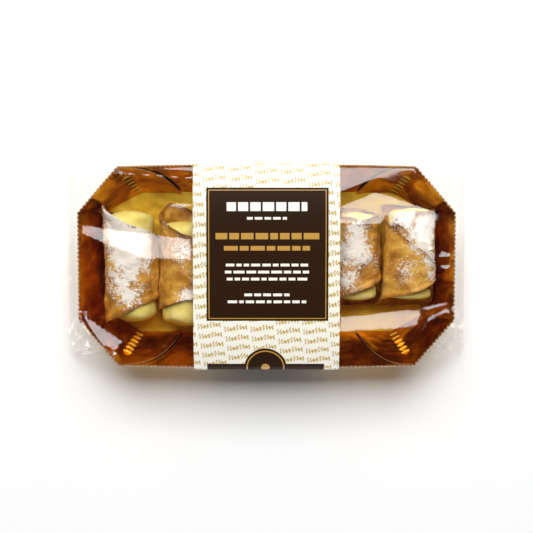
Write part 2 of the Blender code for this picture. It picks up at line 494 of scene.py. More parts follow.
def makeTray():
    rings, rows = tray["floorRings"], tray["wallRows"]
    steps = np.arange(tray["columns"] + 1) / tray["columns"]
    rimX, rimY = trayPoint(steps, np.ones_like(steps))[:2]
    length = np.concatenate([[0], np.cumsum(np.hypot(np.diff(rimX), np.diff(rimY)))])
    waves = round(length[-1] / tray["wavePitch"])

    def place(u, v):
        row = v * (rings + rows)
        level = np.clip((row - rings) / rows, 0, 1)
        share = np.clip(row / rings, 0, 1)
        x, y, z = trayPoint(u, level, share)
        phase = np.interp(u, steps, length) / length[-1] * waves * 2 * math.pi
        wave = np.sin(phase) * tray["waveDepth"] * eased(0.94, 1.0, level)
        slack = noiseAt(np.stack([x, y, z], axis=1), 1 / tray["slackPitch"]) * np.sin(level * math.pi)
        push = wave + slack * tray["slackDepth"]
        out = np.hypot(x, y) + 1e-9
        return x + push * x / out, y + push * y / out, z + wave

    body = wrapGrid("goldTray", tray["columns"], rings + rows, place)
    mergeDoubles(body)
    # the grid's own faces end up outside, and each one's inner side takes the material three slots on
    giveMaterials(body, outerBoard, boardEdge, outerBoard, foil, foil, floorFoilPaintedLighter)
    for face in body.data.polygons:
        face.material_index = 2 if face.center.z < tray["floor"] + 0.3 * mm else 0
    thickness = tray["board"]
    applyModifier(body, "SOLIDIFY", thickness=thickness, offset=1, material_offset=3, material_offset_rim=1)
    return body


# The two ends of the fold between a long wall and a cut corner
def cornerFold(side, front):
    baseX, rimX = (tray[key + "Half"][0] - tray[key + "Cut"][0] for key in ("base", "rim"))
    low = Vector((side * baseX, front * tray["baseHalf"][1], tray["floor"]))
    high = Vector((side * rimX, front * (tray["rimHalf"][1] - tray["bow"]), tray["rim"]))
    return low, high


# A rounded glue tab, folded round from the end panel and stuck inside a long wall
def makeTab(side, front):
    reach = tray["tabReach"][0 if side < 0 else 1]
    base, top = cornerFold(1, 1)
    top.z -= 0.8 * mm
    inward = Vector((0, -(top.z - base.z), top.y - base.y)).normalized()

    def place(u, v):
        turn = (1 - v) * math.pi / 2
        up = u * np.sin(turn) ** 0.75
        lift = (0.25 + 0.9 * eased(0.75, 1.0, u) * np.cos(turn)) * mm
        x = mixed(base.x, top.x, up) - u * np.clip(np.cos(turn), 0, 1) ** 0.55 * reach
        y = mixed(base.y, top.y, up) + inward.y * lift
        z = mixed(base.z, top.z, up) + inward.z * lift
        return side * x, front * y, z

    tab = wrapGrid("tab", 24, 28, place)
    mergeDoubles(tab)
    giveMaterials(tab, foil, boardEdge)
    thickness = tray["tabBoard"]
    applyModifier(tab, "SOLIDIFY", thickness=thickness, offset=0, material_offset_rim=1, use_even_offset=True)
    return tab


# The short ribs pressed across each corner fold near the floor
def makeCrimps():
    ribs = []
    for side in (-1, 1):
        for front in (-1, 1):
            low, high = cornerFold(side, front)
            climb = (high - low).normalized()
            across = Vector((side * 0.9, -front * 0.45, 0))
            across = (across - across.dot(climb) * climb).normalized()
            inward = Vector((-side * 0.6, -front * 0.8, 0.3))
            facing = (inward - inward.dot(climb) * climb - inward.dot(across) * across).normalized()
            for i in range(tray["crimps"]):
                bpy.ops.object.select_all(action="DESELECT")
                bpy.ops.mesh.primitive_uv_sphere_add(segments=12, ring_count=8, radius=1)
                rib = bpy.context.object
                ball = readPoints(rib)
                halfWidth, halfLength, halfDepth = tray["crimpHalf"]
                centre = low + climb * (tray["crimpStart"] + i * tray["crimpPitch"]) + facing * halfDepth
                axes = np.array([across * halfWidth, climb * halfLength, facing * halfDepth])
                writePoints(rib, ball @ axes + np.array(centre))
                giveMaterials(rib, floorFoilPaintedLighter)
                ribs.append(rib)
    return ribs


trayBody = makeTray()
trayParts = [makeTab(side, front) for side in (-1, 1) for front in (-1, 1)]
goldTray = joinPieces([trayBody, *trayParts, *makeCrimps()], "goldTray")
pickOnly(goldTray)
bpy.ops.object.mode_set(mode="EDIT")
bpy.ops.mesh.select_all(action="SELECT")
bpy.ops.mesh.normals_make_consistent(inside=False)
bpy.ops.object.mode_set(mode="OBJECT")
shadeSmooth(goldTray, 30)
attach(goldTray, "root")


print("stage: cannoli")
cannoli = {
    "pitch": 31.0 * mm,
    "offset": 1.4 * mm,
    "radius": 15.1 * mm,
    "wall": 1.3 * mm,
    "creamRadius": 13.1 * mm,
    "columns": 150,
    "rows": 84,
    "blisters": 150,
    "specks": 1600,
    "speckSize": (0.10 * mm, 0.34 * mm),
    "blisterSize": (1.1 * mm, 4.4 * mm),
    "flapGap": 0.25 * mm,
    "lumps": (11 * mm, 1.0 * mm),  # pitch and height of the dough's slow unevenness
    "wrinkles": (3.2 * mm, 0.24 * mm),
    "raggedness": 1.1,
    "settle": 1.2 * mm,  # how softly a shell flattens where it rests on the floor
}

# longSide: degrees round the tube, from the right over the top, where the dough is longest.
# back and front: how far the dough reaches from the middle, in mm, against degrees from the long
# side; the inner layer is negative and the outer one positive. sugar: heaps as x, y, size, amount.
pieces = [
    {
        "longSide": 160,
        "back": [(-190, 14), (-90, 26), (0, 33.4), (70, 23.5), (160, 15), (216, 13)],
        "front": [(-190, 14), (-90, 25), (0, 32.6), (70, 25), (130, 18.5), (216, 15)],
        "cream": (29.5, 31.0),
        "sugar": [(-6, 24, 11, 1.3), (2, 10, 15, 1.4), (-3, -6, 12, 0.95), (0, -17, 9, 0.8), (10, 0, 5, 0.6)],
        "yaw": 1.5,
        "y": 0.2,
    },
    {
        "longSide": 230,
        "back": [(-190, 16), (-90, 26), (0, 34), (50, 28), (140, 17.5), (216, 16)],
        "front": [(-190, 16), (-90, 26), (0, 33), (50, 25), (140, 18), (216, 15)],
        "cream": (24.5, 33.0),
        "sugar": [(2, -17, 6, 0.95), (-8, 27, 6, 0.8), (0, 10, 12, 0.55), (4, 0, 9, 0.3)],
        "yaw": -1.0,
        "y": -0.4,
    },
    {
        "longSide": 120,
        "back": [(-190, 17), (0, 32.5), (110, 22), (216, 16)],
        "front": [(-190, 17), (0, 32.5), (110, 23), (216, 16)],
        "cream": (29.5, 29.5),
        "sugar": [(0, 5, 16, 0.9), (3, -14, 10, 0.6)],
        "yaw": 0.5,
        "y": 0.5,
    },
    {
        "longSide": 200,
        "back": [(-190, 17), (0, 32.5), (110, 22), (216, 16)],
        "front": [(-190, 17), (0, 32.5), (110, 23), (216, 16)],
        "cream": (29.5, 29.5),
        "sugar": [(-2, 8, 15, 0.9), (3, -12, 10, 0.5)],
        "yaw": -1.5,
        "y": -0.2,
    },
    {
        "longSide": 250,
        "back": [(-200, 22), (0, 27), (160, 22.5), (255, 12)],
        "front": [(-200, 18), (-140, 12), (-125, 16), (-90, 26), (0, 27.5), (70, 26), (110, 21), (160, 18),
                  (220, 12), (255, 9)],
        "cream": (25, 22.5),
        "sugar": [(0, 5, 10, 1.2), (2, 17, 7, 0.9), (-4, -11, 7, 0.9), (12, -2, 6, 0.35)],
        "yaw": 1.0,
        "y": 3.5,
    },
    {
        "longSide": 235,
        "back": [(-270, 28), (-100, 30), (0, 31), (45, 31), (85, 23), (240, -7)],
        "front": [(-270, 17), (-215, 15), (-175, 11), (-145, 14), (-105, 23), (-35, 25.5), (0, 26),
                  (55, 24.5),
                  (90, 20), (145, 16.5), (185, 11.5), (240, 9)],
        "cream": (30, 21.0),
        "sugar": [(8, 17, 11, 1.3), (13, 3, 6, 1.1), (-5, 27, 9, 1.1), (-2, -4, 12, 0.4), (13, -6, 5, 0.6)],
        "yaw": -2.0,
        "y": 1.6,
    },
]
dough, cream, powder = friedDough(), sweetCream(), icingPowder()


def pieceCentre(index):
    return (index - 2.5) * cannoli["pitch"] + cannoli["offset"], tray["floor"] + cannoli["radius"] + 0.2 * mm


# A disc of dough rolled round the tube, its outer flap over the inner, blistered by the hot fat
def makeShell(index):
    spec = pieces[index]
    rng = np.random.default_rng(40 + index)
    radius, wall = cannoli["radius"] - 0.8 * mm, cannoli["wall"]
    innerSweep, outerSweep = -spec["back"][0][0], spec["back"][-1][0]
    centreX, centreZ = pieceCentre(index)
    count = cannoli["blisters"]
    spotW = np.radians(rng.uniform(-innerSweep, outerSweep, count)) * radius
    spotY = rng.uniform(-30, 30, count) * mm
    low, high = cannoli["blisterSize"]
    spotSize = rng.uniform(low / mm, high / mm, count) * mm
    spotHeight = spotSize * rng.uniform(0.10, 0.20, count)
    marks = {}

    def place(u, v):
        t = u * 2 - 1
        degrees = np.where(t < 0, t * innerSweep, t * outerSweep)
        angle = np.radians(degrees)
        w = angle * radius
        back, front = (np.interp(degrees, *np.array(spec[end]).T) for end in ("back", "front"))
        tip = np.clip((np.abs(t) - 0.90) / 0.10, 0, 1)
        half = (back + front) / 2 * np.sqrt(np.clip(1 - tip**2.2, 0.0, 1)) + 0.3
        ragged = noiseAt(np.stack([t * 4, np.full_like(t, index * 9.1), np.sign(v - 0.5)], axis=1), 1)
        y = ((back - front) / 2 + (v * 2 - 1) * (half + ragged * cannoli["raggedness"])) * mm
        under = 360 - innerSweep
        overlap = eased(under - 28, under, degrees) * (wall + cannoli["flapGap"])
        bubbles = np.zeros_like(w)
        for a, b, size, height in zip(spotW, spotY, spotSize, spotHeight):
            near = np.clip(1 - ((w - a) ** 2 + (y - b) ** 2) / size**2, 0, 1)
            bubbles = np.maximum(bubbles, height * near**1.4)
        sheet = np.stack([w, y, np.full_like(w, index * 0.05)], axis=1)
        lumpPitch, lumpHeight = cannoli["lumps"]
        wrinklePitch, wrinkleHeight = cannoli["wrinkles"]
        lumps = noiseAt(sheet, 1 / lumpPitch, 3.1 * index) * lumpHeight
        wrinkles = noiseAt(sheet, 1 / wrinklePitch, 5.7 * index) * wrinkleHeight
        edge = np.abs(v * 2 - 1)
        flare = eased(0.80, 1.0, edge) * (0.9 + 0.8 * np.sin(3 * angle + index)) * mm
        lip = eased(0.90, 1.0, np.abs(t)) * 0.5 * mm
        r = radius + overlap + bubbles + lumps + wrinkles + flare + lip
        turned = math.radians(spec["longSide"]) - angle
        x = r * np.cos(turned) * 0.99
        z = r * np.sin(turned) * 0.97
        yaw = math.radians(spec["yaw"])
        lowest = tray["floor"] + 0.15 * mm
        height = centreZ + z
        settle = cannoli["settle"]
        sagged = lowest + settle * np.exp(np.minimum((height - lowest) / settle, 1) - 1)
        height = np.where(height < lowest + settle, sagged, height)
        browned = eased(0.86, 1.0, edge) * 0.5 + eased(0.88, 1.0, np.abs(t)) * 0.6
        marks["toast"] = np.clip(browned + bubbles / (3 * mm), 0, 1)
        up = eased(-0.05, 0.6, np.sin(turned))
        heaps = np.zeros_like(w)
        for heapX, heapY, size, amount in spec["sugar"]:
            far = np.hypot(x / mm - heapX, y / mm - heapY) / size
            heaps = np.maximum(heaps, amount * np.exp(-(far**2)))
        drift = noiseAt(sheet, 1 / (6 * mm), 8.3 + index) * 0.6 + noiseAt(sheet, 1 / (2.5 * mm), 2.9) * 0.35
        marks["dusting"] = np.clip(heaps * up * (1 + drift), 0, 1)
        acrossX = centreX + x * np.cos(yaw) - y * np.sin(yaw)
        alongY = y * np.cos(yaw) + x * np.sin(yaw) + spec["y"] * mm
        return acrossX, alongY, height

    shell = wrapGrid(f"pastryShell{index + 1}", cannoli["columns"], cannoli["rows"], place)
    for name, values in marks.items():
        setAttribute(shell, name, values)
    normals = np.zeros(len(shell.data.vertices) * 3)
    shell.data.vertices.foreach_get("normal", normals)
    away = readPoints(shell) - np.array([centreX, 0, centreZ])
    away[:, 1] = 0
    if (normals.reshape(-1, 3) * away).sum() < 0:
        pickOnly(shell)
        bpy.ops.object.mode_set(mode="EDIT")
        bpy.ops.mesh.select_all(action="SELECT")
        bpy.ops.mesh.flip_normals()
        bpy.ops.object.mode_set(mode="OBJECT")
    sugared = [readPoints(shell), marks["dusting"]]
    applyModifier(shell, "SOLIDIFY", thickness=wall, offset=-1)
    shadeSmooth(shell, 50)
    giveMaterials(shell, dough)
    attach(shell, "root")
    return sugared


# The filling: a fat roll of cream through the shell, bulging at both ends
def makeCream(index):
    spec = pieces[index]
    centreX, centreZ = pieceCentre(index)
    bpy.ops.object.select_all(action="DESELECT")
    bpy.ops.mesh.primitive_uv_sphere_add(segments=56, ring_count=64, radius=1)
    roll = bpy.context.object
    roll.name = roll.data.name = f"cream{index + 1}"
    ball = readPoints(roll)
    t = ball[:, 2]
    ring = np.hypot(ball[:, 0], ball[:, 1]) + 1e-9
    shortSide = math.radians(spec["longSide"] + 180)
    lumps = noiseAt(ball * np.array([1, 1, 2.2]), 2.1, index * 4.7)
    reach = np.where(t < 0, spec["cream"][0], spec["cream"][1]) * mm
    far = np.abs(t)
    radius = cannoli["creamRadius"] * (1 - far**16) ** 0.4 * (1 + 0.05 * lumps * eased(0.4, 0.9, far))
    lean = 1.3 * mm * eased(0.5, 1.0, far)
    swirl = np.sin(np.arctan2(ball[:, 1], ball[:, 0]) * 2 + ring * 9) * 0.35 * mm
    y = -t * reach * (1 + 0.05 * lumps) + np.sign(t) * swirl * eased(0.8, 0.95, far)
    yawed = y * math.sin(math.radians(spec["yaw"]))
    x = centreX + ball[:, 0] / ring * radius + lean * math.cos(shortSide) - yawed
    z = centreZ + ball[:, 1] / ring * radius * 0.97 + lean * math.sin(shortSide)
    writePoints(roll, np.stack([x, y + spec["y"] * mm, z], axis=1))
    shadeSmooth(roll, 180)
    giveMaterials(roll, cream)
    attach(roll, "root")


# Loose clots of icing sugar, thickest where the dusting is
def makeSugar(surfaces):
    rng = np.random.default_rng(7)
    bpy.ops.object.select_all(action="DESELECT")
    bpy.ops.mesh.primitive_ico_sphere_add(subdivisions=1, radius=1)
    sugar = bpy.context.object
    sugar.name = sugar.data.name = "icingSugar"
    ball = readPoints(sugar)
    corners = np.array([list(face.vertices) for face in sugar.data.polygons])
    points, faces = [], []
    smallest, largest = cannoli["speckSize"]
    for surface, weight in surfaces:
        chance = np.clip(weight - 0.12, 0, 1) ** 1.6
        amount = int(cannoli["specks"] * min(1.0, chance.sum() / len(chance) * 9))
        chosen = rng.choice(len(surface), amount, p=chance / chance.sum())
        for place in surface[chosen]:
            size = rng.uniform(smallest / mm, largest / mm) * mm
            spread = rng.normal(0, 0.35, 3) * mm
            spread[2] = size * 0.3
            clot = ball * rng.uniform(0.6, 1.3, (len(ball), 1)) * size * np.array([1, 1, 0.6])
            faces.append(corners + len(points) * len(ball))
            points.append(clot + place + spread)
    mesh = bpy.data.meshes.new("icingSugar")
    mesh.from_pydata(np.concatenate(points).tolist(), [], np.concatenate(faces).tolist())
    sugar.data = mesh
    giveMaterials(sugar, powder)
    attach(sugar, "root")


sugared = [makeShell(index) for index in range(len(pieces))]
for index in range(len(pieces)):
    makeCream(index)
makeSugar(sugared)


print("stage: card band")
band = {
    "card": 0.3 * mm,
    "panel": (-32.5, -28.8, 33.5, 43.5),  # left, front, right and back edges on the top, in mm
    "frameInset": 1.1,
    "frameWidth": 0.45,
    "frontPanel": (-32.5, -92.0, 31.5, -53.6),
    "emblem": {"x": -0.6, "s": -56.0, "radius": 11.6},
    "lap": 9 * mm,  # of the glued seam under the pack
    "rollRadius": 3.9 * mm,
    "archSteps": 60,
}

# The arch of film and band across the pack, which dies away towards the pack's ends
arch = {
    "rise": 5.2 * mm,  # above the level of the rolls over the rim
    "edgeSlope": 21,  # degrees, where the arch meets those rolls
    "power": 4,
    "end": 98 * mm,
    "endRise": 0.4 * mm,
}

# The print's rows on the panel: ink, left, front, right, back in mm, and into how many blocks
printRows = [
    ("white", -21.5, 30.8, 22.0, 35.6, 7),
    ("white", -10.5, 26.2, 11.0, 27.6, 5),
    ("gold", -27.5, 15.6, 28.5, 19.0, 8),
    ("gold", -23.0, 9.5, 23.5, 12.0, 7),
    ("white", -22.0, 0.9, 22.5, 2.4, 9),
    ("white", -22.5, -2.9, 23.0, -1.4, 8),
    ("white", -21.5, -6.7, 22.0, -5.2, 9),
    ("white", -12.0, -15.3, 12.5, -13.8, 5),
    ("white", -21.0, -19.1, 21.5, -17.6, 9),
]


# The band's loop as it lies: half of it, from the top's middle down the side to the underside's middle
def bandPath():
    halfDepth, top = bandHigh.y, bandHigh.z
    radius, slope = band["rollRadius"], math.radians(arch["edgeSlope"])
    shoulder = top - arch["rise"]
    baseRadius, baseHalf = 3.2 * mm, 42.7 * mm
    lean = math.atan2(halfDepth - baseHalf, shoulder - radius)
    edgeY = halfDepth - radius + radius * math.sin(slope)
    edgeZ = shoulder - radius + radius * math.cos(slope)
    arc = np.linspace(0, edgeY, band["archSteps"])
    half = [(y, edgeZ + (top - edgeZ) * (1 - (y / edgeY) ** arch["power"])) for y in arc]
    for a in np.linspace(math.pi / 2 - slope, -lean, 14)[1:]:
        half.append((halfDepth - radius + radius * math.cos(a), shoulder - radius + radius * math.sin(a)))
    for a in np.linspace(-lean, -math.pi / 2, 10):
        half.append((baseHalf - baseRadius + baseRadius * math.cos(a), baseRadius + baseRadius * math.sin(a)))
    half.append((0.0, 0.0))
    half = np.array(half)
    length = np.concatenate([[0], np.cumsum(np.hypot(*np.diff(half, axis=0).T))])
    return half, length


bandHalf, bandLength = bandPath()


# The place at s along the loop, measured from the top's middle and positive towards the back
def onBand(s, lift=0.0):
    run = np.abs(s)
    y = np.interp(run, bandLength, bandHalf[:, 0])
    z = np.interp(run, bandLength, bandHalf[:, 1])
    nearBy = 0.2 * mm
    ahead = np.stack([np.interp(run + nearBy, bandLength, bandHalf[:, i]) for i in (0, 1)])
    before = np.stack([np.interp(run - nearBy, bandLength, bandHalf[:, i]) for i in (0, 1)])
    along = ahead - before
    along /= np.hypot(*along) + 1e-12
    return np.sign(s) * (y - along[1] * lift), z + along[0] * lift


def printBlocks():
    rng = random.Random(5)
    blocks = []
    for ink, left, front, right, back, count in printRows:
        weights = [rng.uniform(0.7, 1.5) for i in range(count)]
        gap = 1.1
        room = right - left - gap * (count - 1)
        x = left
        for weight in weights:
            width = room * weight / sum(weights)
            blocks.append((ink, x, front, x + width, back))
            x += width + gap
    return blocks


def frameBars():
    left, front, right, back = band["panel"]
    outer, width = band["frameInset"], band["frameWidth"]
    inner = outer + width
    return [
        ("gold", left + outer, front + outer, left + inner, back - outer),
        ("gold", right - inner, front + outer, right - outer, back - outer),
        ("gold", left + outer, front + outer, right - outer, front + inner),
        ("gold", left + outer, back - inner, right - outer, back - outer),
    ]


# Coated white card with a gold all-over print of slanting flourishes, drawn in the band's own UV
def patternedCard():
    material, tree = startMaterial("coated card with gold flourishes")
    uv = addNode(tree, "ShaderNodeUVMap", {"uv_map": "wrap"})
    tilted = addNode(
        tree, "ShaderNodeMapping", {"Rotation": (0, 0, math.radians(-8))}, {"Vector": uv.outputs[0]}
    )
    apart = addNode(tree, "ShaderNodeSeparateXYZ", None, {0: tilted.outputs[0]})
    columnWidth, rowHeight = 14.1, 5.5  # mm
    # each step: its name, the operation, and its inputs as numbers or earlier names
    steps = [
        ("across", "DIVIDE", "u", columnWidth),
        ("column", "FLOOR", "across"),
        ("odd", "PINGPONG", "column", 1.0),
        ("stagger", "MULTIPLY", "odd", 2.0),
        ("shareX", "FRACT", "across"),
        ("middleX", "SUBTRACT", "shareX", 0.5),
        ("x", "MULTIPLY", "middleX", columnWidth),
        ("raised", "ADD", "v", "stagger"),
        ("up", "DIVIDE", "raised", rowHeight),
        ("shareY", "FRACT", "up"),
        ("middleY", "SUBTRACT", "shareY", 0.5),
        ("y", "MULTIPLY", "middleY", rowHeight),
        ("slanted", "MULTIPLY_ADD", "y", -0.45, "x"),
        ("phase", "MULTIPLY", "slanted", 3.7),
        ("beat", "MULTIPLY_ADD", "slanted", 0.95, 5.2),
        ("pulse", "COSINE", "beat"),
        ("tall", "MULTIPLY_ADD", "pulse", 0.45, 0.85),
        ("wave", "SINE", "phase"),
        ("loops", "MULTIPLY", "wave", "tall"),
        ("drift", "MULTIPLY_ADD", "x", 0.81, 0.6),
        ("swell", "SINE", "drift"),
        ("swells", "MULTIPLY", "swell", 0.35),
        ("line", "ADD", "loops", "swells"),
        ("off", "SUBTRACT", "y", "line"),
        ("stroke", "ABSOLUTE", "off"),
        ("slope", "COSINE", "phase"),
        ("steep", "ABSOLUTE", "slope"),
        ("steepness", "MULTIPLY_ADD", "steep", 1.6, 1.0),
        ("evenStroke", "DIVIDE", "stroke", "steepness"),
        ("inked", "LESS_THAN", "evenStroke", 0.34),
        ("reach", "ABSOLUTE", "x"),
        ("inside", "LESS_THAN", "reach", 6.2),
        ("ink", "MULTIPLY", "inked", "inside"),
    ]
    values = {"u": apart.outputs[0], "v": apart.outputs[1]}
    for name, operation, *sources in steps:
        settings, links = {"operation": operation}, {}
        for place, source in enumerate(sources):
            if source in values:
                links[place] = values[source]
            else:
                settings[place] = source
        values[name] = addNode(tree, "ShaderNodeMath", settings, links).outputs[0]
    colour = addNode(tree, "ShaderNodeMix", {"data_type": "RGBA"}, {0: values["ink"]})
    colour.inputs[6].default_value = hexColour("#F4F1E4")
    colour.inputs[7].default_value = hexColour("#BFA044")
    shader = addNode(
        tree, "ShaderNodeBsdfPrincipled", {"Roughness": 0.42}, {"Base Color": colour.outputs[2]}
    )
    addNode(tree, "ShaderNodeOutputMaterial", None, {"Surface": shader.outputs[0]})
    return material


# Solid printing ink on coated card: an even colour with a satin varnish that mottles slightly
def inkOn(name, colour, roughness, specular=0.5):
    material, tree = startMaterial(name)
    spot = addNode(tree, "ShaderNodeTexCoord")
    mottle = addNode(tree, "ShaderNodeTexNoise", {"Scale": 1 / (3 * mm)}, {"Vector": spot.outputs["Object"]})
    gloss = addNode(
        tree,
        "ShaderNodeMapRange",
        {"To Min": roughness - 0.05, "To Max": roughness + 0.07},
        {"Value": mottle.outputs["Fac"]},
    )
    shader = addNode(
        tree,
        "ShaderNodeBsdfPrincipled",
        {"Base Color": hexColour(colour), "Specular IOR Level": specular},
        {"Roughness": gloss.outputs[0]},
    )
    addNode(tree, "ShaderNodeOutputMaterial", None, {"Surface": shader.outputs[0]})
    return material


def makeBand():
    total = bandLength[-1]
    halfWidth = bandHigh.x / mm
    zones = [("dark", *band["panel"]), ("dark", *band["frontPanel"]), *frameBars(), *printBlocks()]
    inkEdges = [zone[i] for zone in zones for i in (1, 3)]
    xLines = sorted({-halfWidth, halfWidth, *np.arange(-36, 37, 4.0), *inkEdges})
    sLines = {*np.linspace(-total, total, 150) / mm, *[z[i] for z in zones for i in (2, 4)]}
    sLines = sorted(sLines | {(total + band["lap"]) / mm})
    xLines = np.array([x for i, x in enumerate(xLines) if i == 0 or x - xLines[i - 1] > 0.01])
    sLines = np.array([s for i, s in enumerate(sLines) if i == 0 or s - sLines[i - 1] > 0.01])
    columns, rows = len(xLines) - 1, len(sLines) - 1
    card = band["card"]

    def place(u, v):
        x = xLines[np.round(u * columns).astype(int)] * mm
        s = sLines[np.round(v * rows).astype(int)] * mm
        y, z = onBand(np.clip(s, -total, total))
        past = np.maximum(s - total, 0)  # the seam's lap runs on under the other end
        y = np.where(past > 0, -past, y)
        under = eased(total - 14 * mm, total - 2 * mm, -s)
        return x, y, z + under * (card + 0.05 * mm)

    strip = wrapGrid("printedBand", columns, rows, place)
    layer = strip.data.uv_layers[0] if strip.data.uv_layers else strip.data.uv_layers.new()
    layer.name = "wrap"
    loops = np.zeros(len(strip.data.loops), dtype=int)
    strip.data.loops.foreach_get("vertex_index", loops)
    column, row = loops % (columns + 1), loops // (columns + 1)
    layer.data.foreach_set("uv", np.stack([xLines[column], sLines[row]], axis=1).ravel())
    inks = {"card": 0, "dark": 1, "gold": 2, "white": 3}
    choice = np.zeros(len(strip.data.polygons), dtype=int)
    for i, face in enumerate(strip.data.polygons):
        corner = face.vertices[0]
        x = (xLines[corner % (columns + 1)] + xLines[corner % (columns + 1) + 1]) / 2
        s = (sLines[corner // (columns + 1)] + sLines[corner // (columns + 1) + 1]) / 2
        for ink, left, front, right, back in zones:
            if left < x < right and front < s < back:
                choice[i] = inks[ink]
    darkInk = inkOn("dark brown ink", "#2B1606", 0.5, specular=0.1)
    goldInk = inkOn("gold ink", "#C0903A", 0.40)
    whiteInk = inkOn("bare white card", "#F6F1E6", 0.45)
    plain = inkOn("uncoated card back", "#E9E4D6", 0.75)
    giveMaterials(strip, patternedCard(), darkInk, goldInk, whiteInk, plain)
    inner = 4
    strip.data.polygons.foreach_set("material_index", choice)
    backing = {"material_offset": inner, "material_offset_rim": inner}
    applyModifier(strip, "SOLIDIFY", thickness=card, offset=-1, **backing)
    shadeSmooth(strip, 40)
    return strip


# A round seal printed across the front fold: a dark disc with a gold ring and a plain gold dot
def makeEmblem(strip):
    spec = band["emblem"]
    centreX, centreS, radius = spec["x"] * mm, spec["s"] * mm, spec["radius"] * mm
    rings = [0, 0.18, 0.26, 0.5, 0.84, 0.90, 1.0]
    last = band["archSteps"] - 1

    def place(u, v):
        reach = np.interp(v, np.linspace(0, 1, len(rings)), rings) * radius
        x = centreX + reach * np.sin(u * 2 * math.pi)
        y, z = onBand(centreS + reach * np.cos(u * 2 * math.pi), 0.03 * mm)
        return x, y, z

    disc = wrapGrid("frontSeal", 96, 18, place)
    mergeDoubles(disc)
    points = readPoints(disc)
    giveMaterials(disc, strip.data.materials[1], strip.data.materials[2])
    for face in disc.data.polygons:
        middle = points[list(face.vertices)].mean(axis=0)
        s = -np.interp(-middle[1], bandHalf[: last + 1, 0], bandLength[: last + 1])
        if middle[2] < bandHalf[last, 1]:
            s = -np.interp(-middle[2], -bandHalf[last:, 1], bandLength[last:])
        share = math.hypot(middle[0] - centreX, s - centreS) / radius
        face.material_index = 1 if 0.84 < share < 0.90 or share < 0.2 else 0
    applyModifier(disc, "SOLIDIFY", thickness=0.05 * mm, offset=1)
    shadeSmooth(disc, 40)
    return disc


printedBand = makeBand()
frontSeal = makeEmblem(printedBand)
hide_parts("card_band")
for piece in (printedBand, frontSeal):
    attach(piece, "root")


print("stage: film bag")
film = {
    "columns": 480,
    "underRings": 8,
    "sideRows": 36,
    "crownRings": 84,
    "rimRadius": 3.2 * mm,
    "baseRadius": 2.5 * mm,
    "baseHalf": (89 * mm, 42 * mm),
    "rimHalfLength": 103.8 * mm,
    "finHeight": (3.4 * mm, 4.4 * mm),
    "finHalfDepth": 53 * mm,
    "ridgeHeight": 3.2 * mm,
    "slackHeight": 0.35 * mm,
}

# Taut facets between creases: outline in mm, tilt of the facet towards the back in degrees,
# its lean to the side, how far its middle is lifted and how far out it dies away, in mm
facets = [
    {"outline": [(-103, 23.5), (-86, 21), (-41, 15.5), (-41, 4.8), (-66, 4.8), (-87, 12.5), (-103, 19.5)],
     "tilt": 14, "lean": 0, "lift": 0.0, "reach": 7},
    {"outline": [(-103.5, -27), (-99, -27.2), (-78.5, -41.2), (-82.8, -45.5), (-97, -39.5)],
     "tilt": 21, "lean": 0, "lift": -0.3, "reach": 5},
    {"outline": [(38, 32.5), (60.6, 41.5), (92.5, 30), (90, 12), (82, 13.5), (64, 30), (38, 30.5)],
     "tilt": 12.5, "lean": 14, "lift": -1.2, "reach": 7},
    {"outline": [(-84, 51.5), (-39, 48.5), (-39, 35), (-82, 35)],
     "tilt": 3.7, "lean": -36, "lift": 0.55, "reach": 4},
    {"outline": [(89, 9), (102, 8), (102, 5.5), (92, 5)],
     "tilt": 17, "lean": 0, "lift": -0.2, "reach": 4},
    {"outline": [(95, 0.8), (102.5, 2.5), (102.5, 0.5), (96, -1.5)],
     "tilt": 17, "lean": 0, "lift": -0.2, "reach": 4},
    {"outline": [(38, -27.2), (79, -23), (83.5, -24.5), (83, -31.6), (73, -33.4), (38, -34.8)],
     "tilt": 18, "lean": 0, "lift": 0.0, "reach": 6},
    {"outline": [(82, -22.6), (103, -18.2), (103, -19.2), (84, -24.8)],
     "tilt": 19, "lean": 0, "lift": 0, "reach": 2},
    {"outline": [(84, -29.5), (103, -20.6), (103.5, -21.6), (85, -32)],
     "tilt": 19, "lean": 0, "lift": 0, "reach": 2},
]


# The arched crown's height, without the facets
def crownHeight(x, y):
    slope = math.radians(arch["edgeSlope"])
    edgeY = bagHigh.y - film["rimRadius"] * (1 - math.sin(slope))
    edgeZ = bagHigh.z - arch["rise"] - film["rimRadius"] * (1 - math.cos(slope))
    rise = mixed(bagHigh.z - edgeZ, arch["endRise"], eased(bandHigh.x + 1 * mm, arch["end"], np.abs(x)))
    return edgeZ + rise * (1 - np.clip(np.abs(y) / edgeY, 0, 1) ** arch["power"]), edgeZ


# The nearest place to each point in an outline, and how far off it is
def nearestInside(outline, px, py):
    nearX, nearY = px.copy(), py.copy()
    best = np.full_like(px, 1e9)
    inside = np.zeros(len(px), dtype=bool)
    for (ax, ay), (bx, by) in zip(outline, np.roll(outline, -1, axis=0)):
        run = ((px - ax) * (bx - ax) + (py - ay) * (by - ay)) / ((bx - ax) ** 2 + (by - ay) ** 2)
        share = np.clip(run, 0, 1)
        ex, ey = ax + share * (bx - ax), ay + share * (by - ay)
        far = np.hypot(px - ex, py - ey)
        closer = far < best
        best = np.where(closer, far, best)
        nearX, nearY = np.where(closer, ex, nearX), np.where(closer, ey, nearY)
        inside ^= ((ay > py) != (by > py)) & (px < (bx - ax) * (py - ay) / (by - ay + 1e-12) + ax)
    return np.where(inside, px, nearX), np.where(inside, py, nearY), np.where(inside, 0, best)


